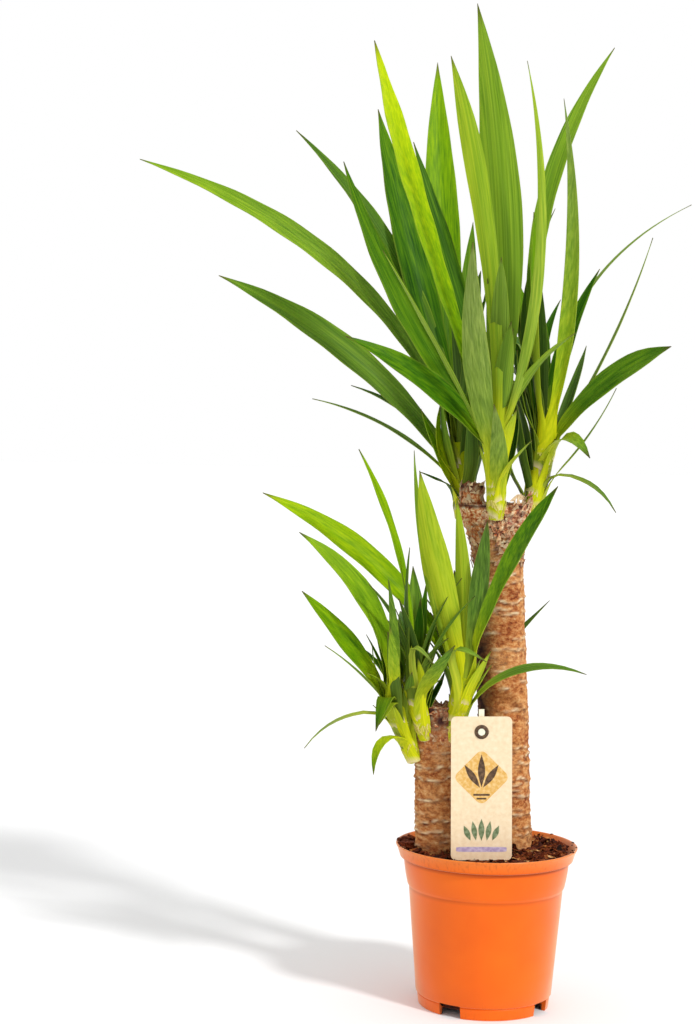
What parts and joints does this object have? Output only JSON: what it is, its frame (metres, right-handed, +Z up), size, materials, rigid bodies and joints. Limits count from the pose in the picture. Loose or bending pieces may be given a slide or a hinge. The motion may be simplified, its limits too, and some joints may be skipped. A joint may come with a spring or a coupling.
{
  "type": "potted yucca",
  "caption": "Yucca with bark-covered canes and tufts of sword-shaped leaves, standing in bark mulch in a round orange nursery pot, with a card label on a stake.",
  "frame": {"origin": "centre of the flat disc under the pot, on which it rests", "axes": "+Z up; -Y towards the front, where the card label is; +X to the right seen from the front"},
  "size_m": [0.5353, 0.3701, 0.9181],
  "materials": {
    "orange_plastic": "satin injection-moulded plastic",
    "bark_mulch": "loose damp bark chips",
    "cane_bark": "rough fibrous bark with ring-shaped leaf scars",
    "yucca_leaf": "smooth leathery green leaf",
    "card": "uncoated cream card",
    "stake_plastic": "smooth off-white plastic"
  },
  "bodies": {
    "root": {"pot": "orange_plastic", "soil": "bark_mulch", "cane_tall": "cane_bark", "cane_short": "cane_bark", "shoot_front": "yucca_leaf", "shoot_right": "yucca_leaf", "shoot_back": "yucca_leaf", "shoot_side": "yucca_leaf", "shoot_low_left": "yucca_leaf", "shoot_low_middle": "yucca_leaf", "card_label": "card", "label_stake": "stake_plastic"}
  },
  "joints": []
}
